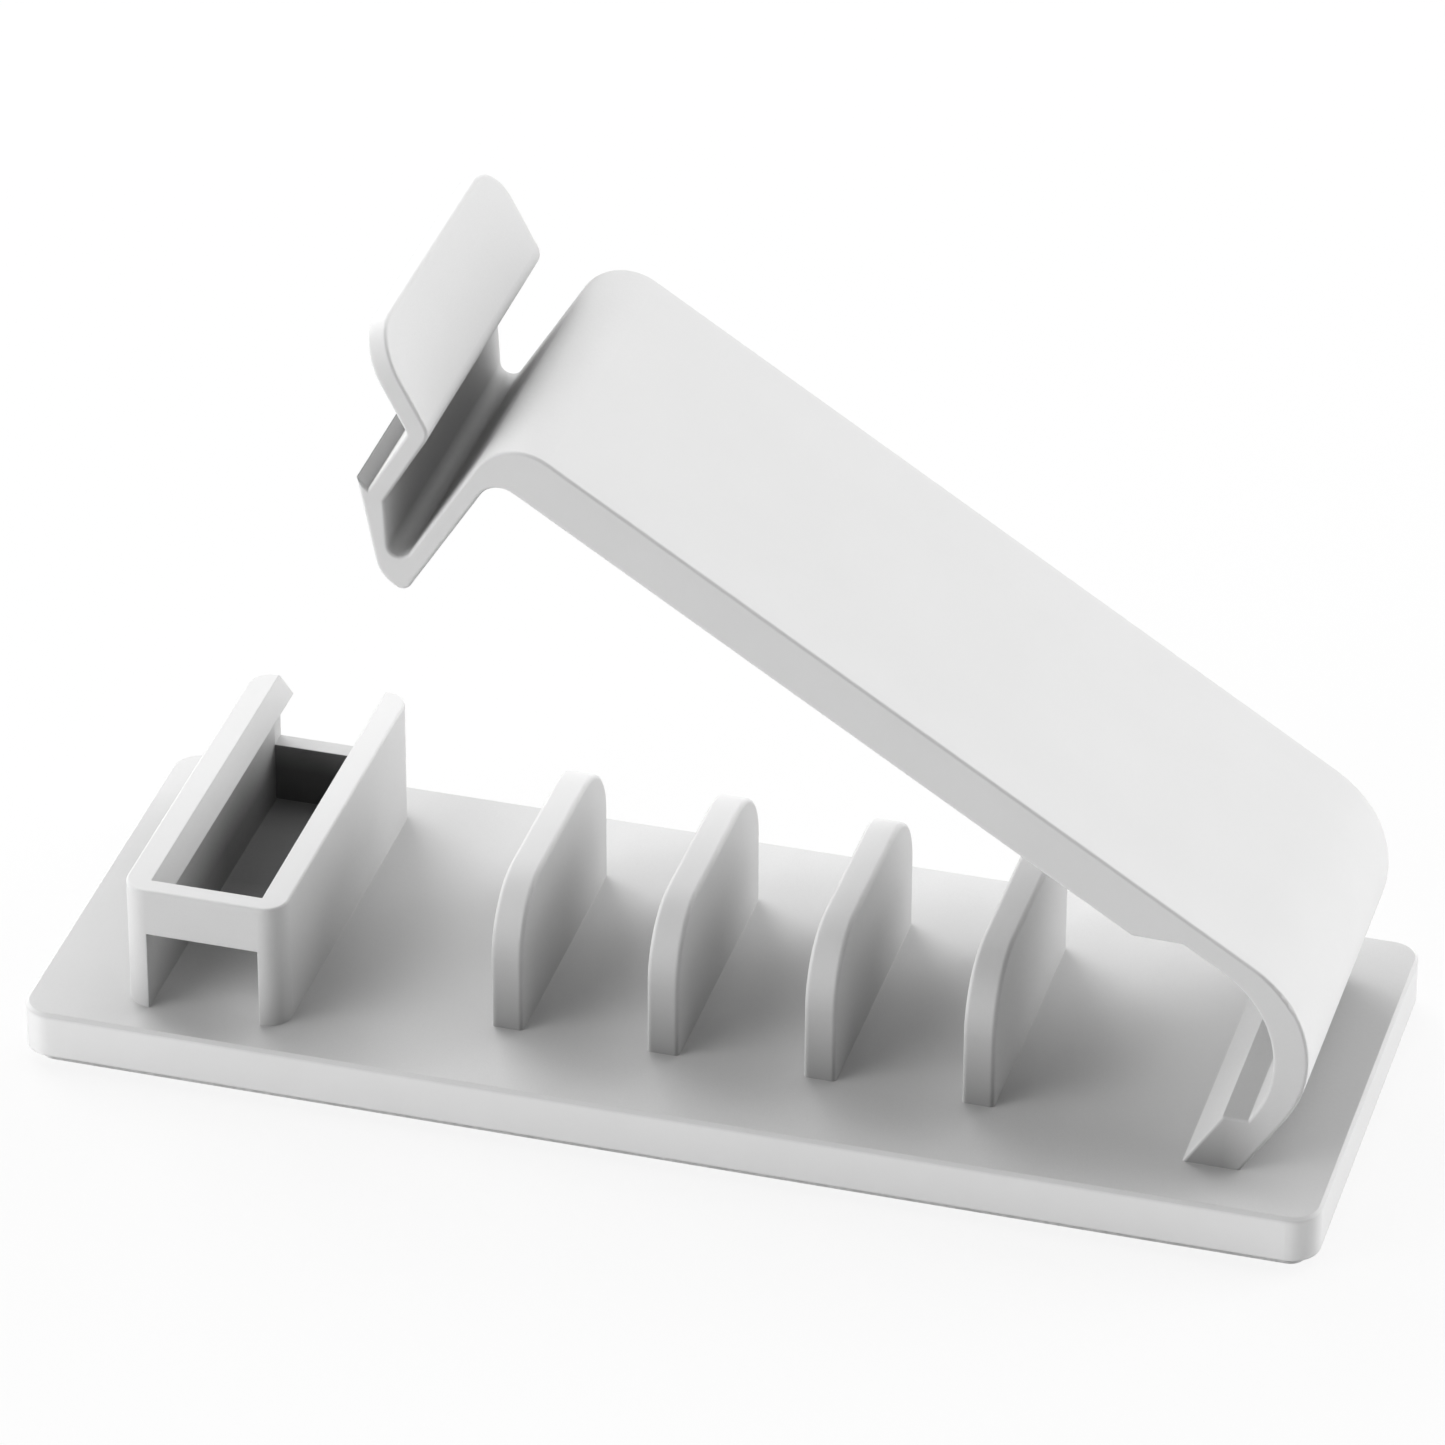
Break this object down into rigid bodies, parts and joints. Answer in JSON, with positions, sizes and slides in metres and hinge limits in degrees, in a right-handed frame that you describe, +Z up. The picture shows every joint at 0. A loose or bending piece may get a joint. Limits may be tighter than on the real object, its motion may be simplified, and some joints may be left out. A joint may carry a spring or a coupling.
{
  "type": "adhesive cable clip",
  "caption": "White snap-shut cable clip on an adhesive pad: a flexing arm with catch hook and finger tab over dividers that keep leads apart, shown open.",
  "frame": {"origin": "centre of the adhesive pad's underside, the face that sticks to a desk or wall", "axes": "+X along the clip from the catch to the hinge, +Y to the back, across the leads' way, +Z up from the pad"},
  "size_m": [0.08, 0.0304, 0.0517],
  "materials": {
    "moulded_plastic": "fine satin",
    "foam_tape": "matt closed-cell foam"
  },
  "bodies": {
    "root": {"clip_body": "moulded_plastic", "adhesive_pad": "foam_tape"}
  },
  "joints": []
}
